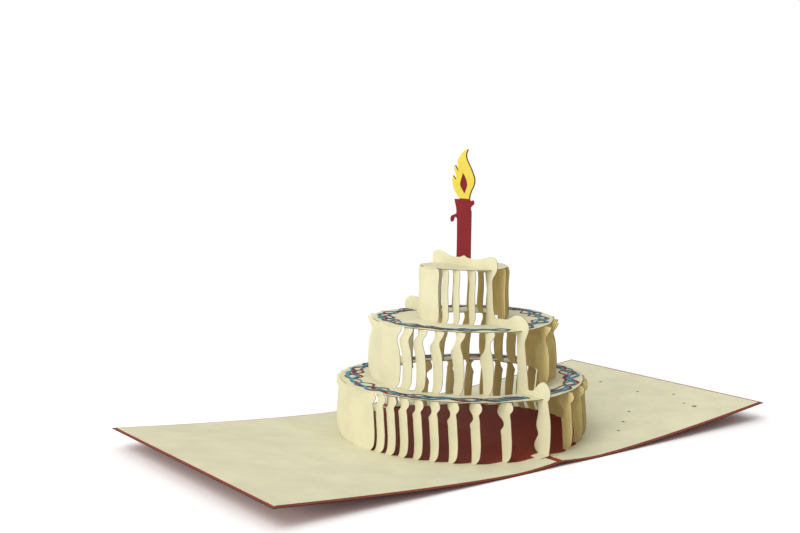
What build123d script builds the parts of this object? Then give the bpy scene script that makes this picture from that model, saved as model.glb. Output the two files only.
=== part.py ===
from build123d import *
from math import atan2, cos, hypot, pi, radians, sin, sqrt, tan
import os

# Pop-up birthday card, lying open. Millimetres, +Z up, fold along Y at X = 0.

# Sheets
COVER_T = 0.40          # folded red outer card
SHEET_T = 0.30          # cream pages, half rings, rib and candle card
THIN_T = 0.20           # icing strands, flame and nameplate

# Leaves
LEAF_WIDTH = 150.0      # along the fold
LEAF_REACH = 149.5      # from the fold to the outer edge, seen from above
FOLD_RISE = 1.6         # the crease stands a little off the table
TOUCH_LINE = 26.0       # distance from the fold at which a leaf lies on the table
EDGE_RISE = 9.3         # the outer edges curl up
CURL = 1.35             # how the rise grows with distance
PAGE_MARGIN = 1.8       # red border round each page
FOLD_STRIPE = 4.6       # bare red stripe between the two pages

# Cake tiers: radius of the ring of uprights, pitches across it, half width of the middle
# upright in pitches, and height of the sheet on top, measured at the fold
TIERS = [
    {"radius": 60.0, "count": 19, "middle": 1.5, "top": 28.7},
    {"radius": 44.3, "count": 12, "middle": 1.0, "top": 58.6},
    {"radius": 21.0, "count": 9, "middle": 1.5, "top": 85.2},
]
TILT = 1.55             # each half ring rises outwards, degrees
OVERHANG = 0.8          # ring edge past the uprights under it
KERF = 0.12             # material burnt away between two uprights
SEAT = 0.02             # gap between a half ring and the rib
STEP_DOWN = 0.65        # how far a cut's bulge drops on the next upright

# Side-to-side shape of the cut beside an upright: (share of height, offset)
CUTS = [
    [(0, -2.6), (.03, -1.5), (.07, -.3), (.12, .5), (.2, 1.0), (.32, 1.15), (.5, .7), (.65, .2),
     (.76, -.25), (.815, -.55), (.85, .25), (.89, 1.25), (.93, 1.55), (.97, 1.2), (1, .4)],
    [(0, -2.4), (.03, -1.3), (.07, -.2), (.13, .6), (.25, 1.1), (.4, 1.1), (.55, .6), (.68, -.5),
     (.78, -1.7), (.83, -1.5), (.9, .2), (.95, 1.3), (1, 1.9)],
    [(0, -1.2), (.04, -.5), (.1, .3), (.18, .5), (.35, .2), (.55, -.15), (.75, 0), (.88, .35),
     (.95, .1), (1, -.5)],
]

# Rib profile (distance from the middle, height): outer edge, then inner edge
RIB_FOOT = 2.3
RIB_LEG = (58.4, 65.4)
RIB_OUTER = [
    [(65.4, RIB_FOOT), (66.2, 10.9), (66.0, 17.7), (64.6, 25.0), (63.8, 28.1)],
    [(63.8, 28.1), (65.5, 32.0), (64.2, 35.0), (60.6, 36.5), (57.2, 35.0), (54.4, 32.2), (50.4, 31.2)],
    [(50.4, 31.2), (49.4, 37.2), (48.0, 46.0), (46.9, 52.8)],
    [(46.9, 52.8), (48.8, 57.5), (49.6, 60.6), (47.4, 63.8), (43.2, 65.4), (39.0, 65.0),
     (35.4, 63.2), (30.0, 62.3), (25.0, 62.1)],
    [(25.0, 62.1), (23.2, 68.0), (22.6, 75.5), (22.4, 80.4), (24.8, 84.0), (25.9, 87.2),
     (25.0, 90.2), (22.0, 91.6), (18.6, 91.3), (13.6, 90.0), (7.0, 89.3), (3.0, 89.5)],
]
RIB_PEAK = (0.0, 90.6)
RIB_INNER = [
    [(58.4, RIB_FOOT), (56.6, 9.1), (57.8, 11.8), (56.8, 14.3), (57.3, 20.4), (56.9, 26.4)],
    [(56.9, 26.4), (41.6, 26.6)],
    [(41.6, 26.6), (42.3, 35.9), (41.7, 45.0), (41.3, 56.2)],
    [(41.3, 56.2), (17.9, 56.6)],
    [(17.9, 56.6), (18.4, 67.4), (18.2, 75.0), (17.4, 80.0), (16.8, 83.6)],
]
TAB_REACH = 5.0         # glued foot of each outer leg

# Candle card: edge of the candle, then the flame (Y, Z)
CANDLE_FOOT = 85.6
CANDLE_BACK = [
    [(6.6, CANDLE_FOOT), (6.4, 100.0), (6.6, 108.6)],
    [(6.6, 108.6), (8.6, 108.9), (9.2, 107.6), (10.8, 106.6), (11.9, 107.9), (11.2, 109.6),
     (9.0, 110.4), (7.1, 111.4)],
    [(7.1, 111.4), (7.3, 113.5), (8.2, 116.2), (8.9, 118.3)],
]
CANDLE_FRONT = [
    [(-3.2, 118.7), (-4.6, 118.0), (-6.2, 118.2), (-6.8, 117.0), (-4.9, 115.2), (-4.8, 112.7)],
    [(-4.8, 112.7), (-4.8, 100.9), (-4.8, CANDLE_FOOT)],
]
FLAME_FOOT = 118.2
FLAME = [
    [(-3.0, FLAME_FOOT), (-3.5, 120.8), (-5.0, 123.6), (-6.7, 126.3), (-6.9, 128.4), (-5.9, 130.8),
     (-4.1, 133.7), (-1.7, 136.8), (-.2, 139.6), (-.4, 141.6), (-1.7, 143.3)],
    [(-1.7, 143.3), (1.5, 142.4), (4.6, 139.8), (6.5, 137.4), (6.4, 134.6), (5.7, 131.8)],
    [(5.7, 131.8), (7.0, 133.3), (8.6, 135.2)],
    [(8.6, 135.2), (9.3, 133.7), (8.4, 131.7), (7.6, 130.0), (7.5, 127.9)],
    [(7.5, 127.9), (8.8, 128.8), (10.1, 130.1)],
    [(10.1, 130.1), (10.6, 127.7), (10.0, 125.3), (8.7, 122.6), (6.3, 120.4), (5.0, FLAME_FOOT)],
]
WICK_HOLE = [
    [(2.2, 131.6), (-.2, 129.0), (-1.4, 125.8), (-.5, 123.2), (.7, 121.2)],
    [(.7, 121.2), (2.4, 123.2), (4.1, 125.6), (3.6, 128.0), (2.2, 131.6)],
]
EDGE_SHOWING = 0.4      # dark card seen past the flame

# Stars cut through the right page: (X, Y, outer radius)
STARS = [
    (123.0, 22.6, 1.3), (121.5, -8.5, 1.3), (130.5, -27.8, 1.3), (121.0, -43.6, 1.3),
    (120.0, -51.6, 2.1), (90.0, -31.5, 1.3), (74.5, -42.0, 1.3), (61.5, -51.0, 1.3),
]

# Nameplate on the outside of the front leaf: one quarter of its edge and of the cut line
PLATE_AT = -75.0
PLATE_EDGE = [
    [(0.0, 27.6), (1.8, 25.6), (6.0, 24.7), (10.5, 25.4), (17.4, 27.0), (24.2, 27.9), (29.3, 26.7),
     (32.8, 24.0), (34.3, 20.6)],
    [(34.3, 20.6), (37.4, 20.2), (40.4, 17.9), (41.3, 14.3), (40.2, 9.7), (39.1, 5.1), (39.6, 2.2),
     (41.4, 0.0)],
]
PLATE_LINE = [
    (1.5, 23.9), (6.0, 22.6), (10.5, 23.1), (17.4, 24.6), (24.0, 25.5), (28.0, 24.3), (30.7, 21.6),
    (32.0, 17.9), (35.4, 17.7), (37.9, 16.1), (38.8, 13.5), (37.9, 9.5), (36.8, 5.1), (37.1, 1.5),
]
PLATE_LINE_W = 1.2

# Icing strands: (tier, node, colour layer, middle radius, swing, waves all round, phase, widths)
ICING = [
    (0, "red", 0, 54.4, 4.2, 9, 0.4, (0.8, 2.0)),
    (0, "blue", 1, 55.6, 3.2, 10, 1.5, (0.6, 1.7)),
    (1, "red", 0, 38.4, 4.0, 8, 0.9, (0.7, 1.8)),
    (1, "blue", 1, 39.6, 3.2, 9, 2.4, (0.6, 1.5)),
]
ICING_LAG = 2.3         # how far the second strand of a pair runs behind the first, radians
ICING_START = 5.0       # degrees left clear beside the rib


def leaf_height(x):
    """Height of the underside of the cover above the table."""
    x = abs(x)
    if x < TOUCH_LINE:
        return FOLD_RISE * (1 - x / TOUCH_LINE) ** 2
    span = LEAF_REACH - TOUCH_LINE
    return EDGE_RISE * ((x - TOUCH_LINE) / span) ** CURL


def closed_face(runs):
    """Face whose edge is a smooth curve through each run, with straight lines between runs."""
    edges = []
    for i, run in enumerate(runs):
        edges.append(Spline(*run) if len(run) > 2 else Line(*run))
        start, nxt = run[-1], runs[(i + 1) % len(runs)][0]
        if hypot(start[0] - nxt[0], start[1] - nxt[1]) > 1e-6:
            edges.append(Line(start, nxt))
    return make_face(edges)


def shifted(runs, across, up=0.0):
    return [[(a + across, b + up) for a, b in run] for run in runs]


def upright_plate(face, x, thickness):
    """Thin plate parallel to the fold plane, centred at x."""
    return Pos(x, 0, 0) * extrude(Plane.YZ * face, thickness / 2, both=True)


def leaf_sheet(low, high):
    """Sheet that follows both leaves in small flats, between two levels above the cover's underside."""
    inner = [TOUCH_LINE * k / 4 for k in range(5)]
    outer = [TOUCH_LINE + (LEAF_REACH - TOUCH_LINE) * k / 10 for k in range(1, 11)]
    xs = [-x for x in reversed(inner[1:] + outer)] + inner + outer
    points = [(x, leaf_height(x) + low) for x in xs]
    points += [(x, leaf_height(x) + high) for x in reversed(xs)]
    face = make_face(Polyline(*points, close=True))
    return extrude(Plane.XZ * face, LEAF_WIDTH / 2, both=True)


def block(x0, x1, y0, y1):
    """Tall block used to take a rectangle out of a leaf sheet."""
    return Pos((x0 + x1) / 2, (y0 + y1) / 2, 0) * Box(abs(x1 - x0), abs(y1 - y0), 200)


def cut_offset(tier, share):
    """Side offset of the cut at a share of the height."""
    table = CUTS[tier]
    share = min(max(share, 0), 1)
    for (a, p), (b, q) in zip(table, table[1:]):
        if share <= b:
            return p + (q - p) * (share - a) / (b - a)
    return table[-1][1]


def columns(tier):
    """Uprights on one side of the fold from the middle outwards: (|y|, |x|, half width)."""
    radius, count, middle = (TIERS[tier][key] for key in ("radius", "count", "middle"))
    pitch = 2 * radius / count
    cols = [(0, radius, middle * pitch)]
    for k in range(round(count / 2 - middle)):
        y = (middle + k + 0.5) * pitch
        cols.append((y, sqrt(radius ** 2 - y ** 2), pitch / 2))
    return cols


def upright(tier, column, drop, base, height, side, end):
    """One upright: side is -1 left or +1 right of the fold, end is -1 front or +1 back."""
    y, x, half = column
    away = [(half + d - KERF / 2, share * height) for share, d in CUTS[tier]]
    if y == 0:
        runs = [[(s, v + base) for s, v in away], [(-s, v + base) for s, v in reversed(away)]]
        return upright_plate(closed_face(runs), side * x, SHEET_T)
    near = [(cut_offset(tier, drop / height), 0)]
    near += [(d, share * height - drop) for share, d in CUTS[tier] if share * height - drop > 0.5]
    if drop > 0.6:
        near.append((CUTS[tier][-1][1] * 0.8, height))
    else:
        near[-1] = (near[-1][0], height)
    near = [(d - half + KERF / 2, v) for d, v in reversed(near)]
    runs = [[(end * (y + s), v + base) for s, v in run] for run in (away, near)]
    return upright_plate(closed_face(runs), side * x, SHEET_T)


def opening(tier, side, height):
    """Plan of the hole that a tier's uprights are folded up from."""
    cols = columns(tier)
    edge = []
    for i, (y, x, half) in enumerate(cols):
        nxt = cols[i + 1][1] if i + 1 < len(cols) else 0.0
        run = x - nxt
        steps = max(2, int(run / 0.8) + 1)
        for k in range(steps + 1):
            u = run * k / steps
            off = cut_offset(tier, STEP_DOWN * u / height)
            edge.append((max(x - SHEET_T / 2 - u, 0), y + half + off))
    points = [(side * a, b) for a, b in reversed(edge)] + [(side * a, -b) for a, b in edge]
    outline = Polyline(*points, (-side, points[-1][1]), (-side, points[0][1]), close=True)
    return extrude(make_face(outline), 120, both=True)


def tilted(shape, side, level):
    """Place a flat half ring or its icing: level with the fold, rising outwards."""
    return Pos(0, 0, level) * Rot(0, -side * TILT, 0) * shape


def tier_uprights(tier, side, foot_level):
    """Uprights of one tier, standing from foot_level(x) to the sheet above."""
    cols = columns(tier)
    made = []
    for i, (y, x, _) in enumerate(cols):
        base = foot_level(x)
        head = TIERS[tier]["top"] - SHEET_T + (x - SHEET_T / 2) * tan(radians(TILT))
        drop = STEP_DOWN * (cols[max(i - 1, 0)][1] - x)
        for end in ((1,) if y == 0 else (-1, 1)):
            made.append(upright(tier, cols[i], drop, base, head - base, side, end))
    return made


def half_disc(radius, side):
    disc = Cylinder(radius, SHEET_T, align=(Align.CENTER, Align.CENTER, Align.MIN))
    keep = SHEET_T / 2 + SEAT
    return disc & Pos(side * (keep + radius), 0, 0) * Box(2 * radius, 3 * radius, 4)


def page(side):
    """Page with the uprights of the first tier folded up from it."""
    reach = LEAF_REACH - PAGE_MARGIN
    edge = LEAF_WIDTH / 2 - PAGE_MARGIN
    sheet = PAGE_LAYER & block(side * FOLD_STRIPE / 2, side * reach, -edge, edge)
    sheet -= opening(0, side, TIERS[0]["top"])
    if side > 0:
        for x, y, r in STARS:
            sheet -= Pos(x, y, -5) * extrude(star(r), 30)
    return sheet.fuse(*tier_uprights(0, side, lambda x: leaf_height(x) + COVER_T + SHEET_T / 2))


def half_ring(tier, side):
    """Top sheet of one tier with the next tier's uprights folded up from it."""
    level = TIERS[tier]["top"] - SHEET_T
    sheet = half_disc(TIERS[tier]["radius"] + OVERHANG, side)
    if tier + 1 == len(TIERS):
        return tilted(sheet, side, level)
    sheet = tilted(sheet - opening(tier + 1, side, TIERS[tier + 1]["top"] - level), side, level)

    def foot(x):
        return level + SHEET_T / 2 + x * tan(radians(TILT))

    return sheet.fuse(*tier_uprights(tier + 1, side, foot))


def star(radius):
    points = []
    for k in range(10):
        r = radius if k % 2 == 0 else radius * 0.42
        points.append((r * cos(pi / 2 + k * pi / 5), r * sin(pi / 2 + k * pi / 5)))
    return make_face(Polyline(*points, close=True))


def strand(side, radius, swing, waves, phase, widths):
    """Flat wavy strand of icing round one half of a tier."""
    start, stop = 90 + ICING_START, 270 - ICING_START
    count = waves * 7
    inner, outer = [], []
    for k in range(count + 1):
        a = radians(start + (stop - start) * k / count)
        wave = 0.78 * sin(waves * a + phase) + 0.32 * sin(2.3 * waves * a + 2 * phase)
        r = radius + swing * wave
        w = widths[0] + (widths[1] - widths[0]) * sin(waves * a / 2 + phase) ** 2
        inner.append(((r - w / 2) * cos(a) * -side, (r - w / 2) * sin(a)))
        outer.append(((r + w / 2) * cos(a) * -side, (r + w / 2) * sin(a)))
    return extrude(closed_face([outer, inner[::-1]]), THIN_T)


def icing(tier, layer, side, radius, swing, waves, phase, widths):
    """Two strands that weave across each other, cut as one piece."""
    piece = strand(side, radius, swing, waves, phase, widths)
    piece = piece.fuse(strand(side, radius, swing, waves, phase + ICING_LAG, widths))
    return tilted(Pos(0, 0, SHEET_T + layer * THIN_T) * piece, side, TIERS[tier]["top"] - SHEET_T)


def rib():
    """Stepped frame in the fold plane, on two glued feet."""
    flip = [[(-a, b) for a, b in reversed(run)] for run in reversed(RIB_OUTER)]
    inner = [run[::-1] for run in reversed(RIB_INNER)]
    inner_flip = [[(-a, b) for a, b in run] for run in RIB_INNER]
    peak = [[RIB_OUTER[-1][-1], RIB_PEAK], [RIB_PEAK, flip[0][0]]]
    frame = upright_plate(closed_face([*RIB_OUTER, *peak, *flip, *inner_flip, *inner]), 0, SHEET_T)
    tabs = []
    for side in (-1, 1):
        x0, x1 = side * TAB_REACH, -side * SHEET_T / 2
        y0, y1 = side * RIB_LEG[0], side * RIB_LEG[1]
        tabs.append(TAB_LAYER & block(x0, x1, y0, y1))
    return frame.fuse(*tabs)


def candle():
    """Candle with the dark flame shape behind the yellow one, glued to the rib's right face."""
    x = SHEET_T
    stick = upright_plate(closed_face([*CANDLE_BACK, *CANDLE_FRONT]), x, SHEET_T)
    return stick.fuse(upright_plate(closed_face(shifted(FLAME, -EDGE_SHOWING)), x, SHEET_T))


def flame():
    x = SHEET_T / 2 - THIN_T / 2
    yellow = upright_plate(closed_face(FLAME), x, THIN_T)
    yellow -= upright_plate(closed_face(WICK_HOLE), x, 3 * THIN_T)
    return yellow & Pos(0, 0, FLAME_FOOT + 50.6) * Box(20, 60, 100)


def nameplate():
    """Bracket-shaped plate, bare in the middle, with a line cut through it in four lengths."""
    quarter = PLATE_EDGE
    back = [[(a, -b) for a, b in reversed(run)] for run in reversed(quarter)]
    right = quarter + back
    left = [[(-a, b) for a, b in reversed(run)] for run in reversed(right)]
    plate = extrude(closed_face(right + left), 20, both=True)
    for sx in (-1, 1):
        for sy in (-1, 1):
            plate -= extrude(line_band([(sx * a, sy * b) for a, b in PLATE_LINE], PLATE_LINE_W), 20, both=True)
    return PLATE_LAYER & Pos(PLATE_AT, 0, 0) * plate


def line_band(points, width):
    """Face of even width along a path."""
    one, two = [], []
    for i, (a, b) in enumerate(points):
        p, q = points[max(i - 1, 0)], points[min(i + 1, len(points) - 1)]
        along = atan2(q[1] - p[1], q[0] - p[0])
        one.append((a - sin(along) * width / 2, b + cos(along) * width / 2))
        two.append((a + sin(along) * width / 2, b - cos(along) * width / 2))
    return make_face(Polyline(*one, *reversed(two), close=True))


def save(shape, node):
    solids = shape.solids()
    export_step(solids[0] if len(solids) == 1 else Compound(solids), f"parts/{node}.step")
    print(node, len(solids), "solid(s)", round(shape.volume, 1), "mm3")


os.makedirs("parts", exist_ok=True)
PAGE_LAYER = leaf_sheet(COVER_T, COVER_T + SHEET_T)
TAB_LAYER = leaf_sheet(COVER_T + SHEET_T, COVER_T + 2 * SHEET_T)
PLATE_LAYER = leaf_sheet(-THIN_T, 0)
SIDES = {"left": -1, "right": 1}

save(leaf_sheet(0, COVER_T), "cover")
save(nameplate(), "nameplate")
save(rib(), "centre_rib")
save(candle(), "candle")
save(flame(), "flame")
for name, side in SIDES.items():
    save(page(side), f"{name}_page")
    save(half_ring(0, side), f"{name}_ring_1")
    save(half_ring(1, side), f"{name}_ring_2")
    save(half_ring(2, side), f"{name}_top")
    for tier, colour, layer, *shape in ICING:
        save(icing(tier, layer, side, *shape), f"{name}_{colour}_icing_{tier + 1}")
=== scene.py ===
import math

import bpy
from mathutils import Matrix, Vector

# Open pop-up card with a paper cake, on a pale floor. Metres, same frame as the CAD.

LENS_MM = 52.08
SENSOR_MM = 36.0
SHIFT_X = -0.15
CAMERA_AT = (-0.3601, -0.4486, 0.1479)
HEADING, PITCH, ROLL = 41.54, 6.19, 1.30        # degrees

CREAM = (0.765, 0.735, 0.515)
INNER_PAINTED_SHADE = (0.90, 0.76, 0.36)               # painted shade: warm gold standing in for the cake's own shade on the faces of the uprights towards the fold
BURNT = (0.20, 0.115, 0.05)
RED_CARD = (0.225, 0.030, 0.016)
RED_PAPER = (0.185, 0.009, 0.014)
BLUE_PAPER = (0.062, 0.270, 0.385)
YELLOW_PAPER = (0.66, 0.54, 0.07)
DARK_EDGE = (0.035, 0.014, 0.010)
PEARL = (0.42, 0.13, 0.12)                      # flecks in the red card

# How fine each pattern is, in noise cells per metre
MOTTLE, SHADE_MOTTLE, SPECKS, TOOTH = 60.0, 90.0, 1500.0, 2600.0
CARD_TONE, CARD_FLECKS, CARD_RIBS = 25.0, 2300.0, 470.0
FLOOR_GRAIN = 3.0

PAGE_THROUGH, RIB_THROUGH = 0.15, 0.12          # share of light that passes through a sheet
BROAD_FACE = 0.97                               # a face counts as broad when its normal is this near an axis
SHADE_FACING = 0.9                                    # and as an inner face, which gets the painted shade, when it points this far to the fold

FLOOR_SIZE = 60.0
FILL = 0.60                                     # strength of the even light from all round

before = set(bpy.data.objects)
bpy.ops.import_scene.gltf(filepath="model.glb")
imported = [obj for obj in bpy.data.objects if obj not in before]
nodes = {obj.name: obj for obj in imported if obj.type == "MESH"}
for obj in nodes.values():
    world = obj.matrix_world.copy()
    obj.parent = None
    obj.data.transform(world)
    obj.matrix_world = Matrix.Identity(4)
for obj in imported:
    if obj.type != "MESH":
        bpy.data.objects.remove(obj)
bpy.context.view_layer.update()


def tree_of(name):
    mat = bpy.data.materials.new(name)
    mat.use_nodes = True
    return mat, mat.node_tree, mat.node_tree.nodes["Principled BSDF"]


def add(tree, kind, **inputs):
    """New shader node, with its inputs set by name."""
    node = tree.nodes.new(kind)
    for key, value in inputs.items():
        socket = node.inputs[key.replace("_", " ")]
        if isinstance(value, bpy.types.NodeSocket):
            tree.links.new(value, socket)
        else:
            socket.default_value = value
    return node


def maths(tree, operation, a, b=None):
    node = tree.nodes.new("ShaderNodeMath")
    node.operation = operation
    for socket, value in zip(node.inputs, (a, b)):
        if value is None:
            continue
        if isinstance(value, bpy.types.NodeSocket):
            tree.links.new(value, socket)
        else:
            socket.default_value = value
    return node.outputs[0]


def mix(tree, factor, a, b):
    """Colour mix; sockets 0, 6 and 7 and output 2 are the ones in use for colours."""
    node = tree.nodes.new("ShaderNodeMix")
    node.data_type = "RGBA"
    for socket, value in ((node.inputs[0], factor), (node.inputs[6], a), (node.inputs[7], b)):
        if isinstance(value, bpy.types.NodeSocket):
            tree.links.new(value, socket)
        elif isinstance(value, float):
            socket.default_value = value
        else:
            socket.default_value = (*value, 1)
    return node.outputs[2]


def facing(tree):
    """The three parts of the true surface normal."""
    geometry = tree.nodes.new("ShaderNodeNewGeometry")
    split = add(tree, "ShaderNodeSeparateXYZ", Vector=geometry.outputs["True Normal"])
    return split.outputs[0], split.outputs[1], split.outputs[2]


def cut_edge(tree, flat_axes):
    """1 on the thin cut edges of a sheet, 0 on its broad faces."""
    parts = facing(tree)
    flat = None
    for axis in flat_axes:
        on = maths(tree, "GREATER_THAN", maths(tree, "ABSOLUTE", parts[axis]), BROAD_FACE)
        flat = on if flat is None else maths(tree, "MAXIMUM", flat, on)
    return maths(tree, "SUBTRACT", 1.0, flat)


def noise(tree, scale, detail=3.0, rough=0.6):
    coord = tree.nodes.new("ShaderNodeTexCoord")
    tex = add(tree, "ShaderNodeTexNoise", Vector=coord.outputs["Object"], Scale=scale, Detail=detail,
              Roughness=rough)
    return tex.outputs[0]


def ramp(tree, factor, low, high, a=0.0, b=1.0):
    node = add(tree, "ShaderNodeMapRange", Value=factor)
    for key, value in zip(("From Min", "From Max", "To Min", "To Max"), (low, high, a, b)):
        node.inputs[key].default_value = value
    return node.outputs[0]


def bump(tree, shader, height, strength, distance):
    node = add(tree, "ShaderNodeBump", Height=height, Strength=strength, Distance=distance)
    tree.links.new(node.outputs[0], shader.inputs["Normal"])


def paper(name, colour, edge, flat_axes, painted_shade=None, shade_sign=0, through=0.0):
    """Uncoated paper: mottled fibres, fine tooth, burnt cut edges, and painted shade in warm gold on the
    faces towards the fold when a shade colour is given.
    """
    mat, tree, shader = tree_of(name)
    dark = tuple(c * 0.88 for c in colour)
    mottled = mix(tree, ramp(tree, noise(tree, MOTTLE), 0.3, 0.7), dark, colour)
    speck = ramp(tree, noise(tree, SPECKS, 2.0), 0.62, 0.75)
    body = mix(tree, maths(tree, "MULTIPLY", speck, 0.18), mottled, tuple(c * 0.7 for c in colour))
    # Painted shade: faces towards the fold get a warm gold colour in place of the shade the cake casts on
    # them.
    if painted_shade:
        toward_shade = maths(tree, "MULTIPLY", facing(tree)[0], float(shade_sign))
        dim = tuple(c * 0.84 for c in painted_shade)
        shade_tone = mix(tree, ramp(tree, noise(tree, SHADE_MOTTLE), 0.3, 0.7), dim, painted_shade)
        body = mix(tree, maths(tree, "GREATER_THAN", toward_shade, SHADE_FACING), body, shade_tone)
    final = mix(tree, cut_edge(tree, flat_axes), body, edge)
    tree.links.new(final, shader.inputs["Base Color"])
    shader.inputs["Roughness"].default_value = 0.78
    shader.inputs["Specular IOR Level"].default_value = 0.25
    bump(tree, shader, noise(tree, TOOTH, 4.0, 0.7), 0.25, 0.00006)
    if through:
        glow = add(tree, "ShaderNodeBsdfTranslucent", Color=final)
        blend = add(tree, "ShaderNodeMixShader", Fac=through)
        tree.links.new(shader.outputs[0], blend.inputs[1])
        tree.links.new(glow.outputs[0], blend.inputs[2])
        tree.links.new(blend.outputs[0], tree.nodes["Material Output"].inputs["Surface"])
    return mat


def linen_card(name, colour, edge):
    """Pearly card with fine ribs across the fold."""
    mat, tree, shader = tree_of(name)
    coord = tree.nodes.new("ShaderNodeTexCoord")
    ribs = add(tree, "ShaderNodeTexWave", Vector=coord.outputs["Object"], Scale=CARD_RIBS, Distortion=1.6,
               Detail=2.0)
    ribs.bands_direction = "Y"
    ribs.inputs["Detail Scale"].default_value = 1.5
    rib = ribs.outputs["Fac"]
    shade = mix(tree, rib, tuple(c * 0.8 for c in colour), tuple(c * 1.12 for c in colour))
    fleck = ramp(tree, noise(tree, CARD_FLECKS, 2.0, 0.5), 0.66, 0.74)
    pearl = mix(tree, maths(tree, "MULTIPLY", fleck, 0.35), shade, PEARL)
    tone = mix(tree, ramp(tree, noise(tree, CARD_TONE), 0.3, 0.7), pearl, shade)
    tree.links.new(mix(tree, cut_edge(tree, (2,)), tone, edge), shader.inputs["Base Color"])
    tree.links.new(ramp(tree, fleck, 0.0, 1.0, 0.72, 0.5), shader.inputs["Roughness"])
    shader.inputs["Specular IOR Level"].default_value = 0.22
    bump(tree, shader, rib, 0.35, 0.00008)
    return mat


def paint(node, mat):
    mesh = nodes[node].data
    mesh.materials.clear()
    mesh.materials.append(mat)


cover_mat = linen_card("linen_red_card", RED_CARD, DARK_EDGE)
plate_mat = paper("plate_cream", CREAM, BURNT, (2,))
rib_mat = paper("rib_cream", CREAM, BURNT, (0, 2), through=RIB_THROUGH)
candle_mat = paper("candle_red", RED_PAPER, DARK_EDGE, (0,))
flame_mat = paper("flame_yellow", YELLOW_PAPER, DARK_EDGE, (0,))
red_icing = paper("icing_red", RED_PAPER, DARK_EDGE, (2,))
blue_icing = paper("icing_blue", BLUE_PAPER, DARK_EDGE, (2,))

paint("cover", cover_mat)
paint("nameplate", plate_mat)
paint("centre_rib", rib_mat)
paint("candle", candle_mat)
paint("flame", flame_mat)
for side, sign in (("left", 1), ("right", -1)):
    # Each side's uprights carry painted shade in warm gold on their faces towards the fold.
    cream = paper(f"{side}_cream", CREAM, BURNT, (0, 2), INNER_PAINTED_SHADE, sign, through=PAGE_THROUGH)
    for name in ("page", "ring_1", "ring_2", "top"):
        paint(f"{side}_{name}", cream)
    for tier in (1, 2):
        paint(f"{side}_red_icing_{tier}", red_icing)
        paint(f"{side}_blue_icing_{tier}", blue_icing)


def pale_floor():
    bpy.ops.mesh.primitive_plane_add(size=FLOOR_SIZE, location=(0, 0, 0))
    floor = bpy.context.object
    floor.name = "floor"
    mat, tree, shader = tree_of("floor_white")
    grain = ramp(tree, noise(tree, FLOOR_GRAIN, 2.0), 0.0, 1.0, 0.94, 0.97)
    grey = add(tree, "ShaderNodeCombineColor", Red=grain, Green=grain, Blue=grain)
    tree.links.new(grey.outputs[0], shader.inputs["Base Color"])
    shader.inputs["Roughness"].default_value = 0.9
    shader.inputs["Specular IOR Level"].default_value = 0.0
    floor.data.materials.append(mat)


def sun(name, towards, strength, angle, colour=(1, 1, 1)):
    """Broad sun, so that the floor is lit evenly; its light travels along towards."""
    data = bpy.data.lights.new(name, "SUN")
    data.energy, data.angle, data.color = strength, math.radians(angle), colour
    lamp = bpy.data.objects.new(name, data)
    lamp.rotation_euler = Vector(towards).to_track_quat("-Z", "Y").to_euler()
    bpy.context.scene.collection.objects.link(lamp)


def soft_light(name, place, aim, size, watts, colour):
    """Round lamp at place, turned to aim."""
    data = bpy.data.lights.new(name, "AREA")
    data.shape, data.size, data.energy, data.color = "DISK", size, watts, colour
    lamp = bpy.data.objects.new(name, data)
    lamp.location = place
    lamp.rotation_euler = (Vector(aim) - Vector(place)).to_track_quat("-Z", "Y").to_euler()
    bpy.context.scene.collection.objects.link(lamp)


def white_world(fill):
    """Even fill light, with plain white behind the object for the camera and in gloss."""
    world = bpy.data.worlds.new("studio")
    bpy.context.scene.world = world
    world.use_nodes = True
    tree = world.node_tree
    background = tree.nodes["Background"]
    background.inputs["Color"].default_value = (1, 1, 1, 1)
    path = tree.nodes.new("ShaderNodeLightPath")
    seen = maths(tree, "MAXIMUM", path.outputs["Is Camera Ray"], path.outputs["Is Glossy Ray"])
    tree.links.new(ramp(tree, seen, 0.0, 1.0, fill, 1.0), background.inputs["Strength"])


def camera():
    data = bpy.data.cameras.new("camera")
    data.lens, data.sensor_width, data.shift_x = LENS_MM, SENSOR_MM, SHIFT_X
    data.clip_start, data.clip_end = 0.01, 20.0
    cam = bpy.data.objects.new("camera", data)
    bpy.context.scene.collection.objects.link(cam)
    a, p, r = (math.radians(v) for v in (HEADING, PITCH, ROLL))
    ahead = Vector((math.sin(a) * math.cos(p), math.cos(a) * math.cos(p), -math.sin(p)))
    level = Vector((math.cos(a), -math.sin(a), 0))
    over = level.cross(ahead)
    right = level * math.cos(r) + over * math.sin(r)
    up = over * math.cos(r) - level * math.sin(r)
    turn = Matrix((right, up, -ahead)).transposed()
    cam.matrix_world = Matrix.Translation(CAMERA_AT) @ turn.to_4x4()
    bpy.context.scene.camera = cam


pale_floor()
white_world(FILL)
sun("key", towards=(0.75, 0.30, -1.0), strength=1.25, angle=35.0, colour=(1.0, 0.985, 0.96))
sun("top", towards=(0.15, -0.35, -1.0), strength=0.55, angle=60.0)
soft_light("low_left", place=(-0.9, -0.25, 0.22), aim=(0.02, 0, 0.04), size=0.35, watts=3.4,
           colour=(1.0, 0.96, 0.86))
camera()
bpy.context.scene.view_settings.view_transform = "Standard"
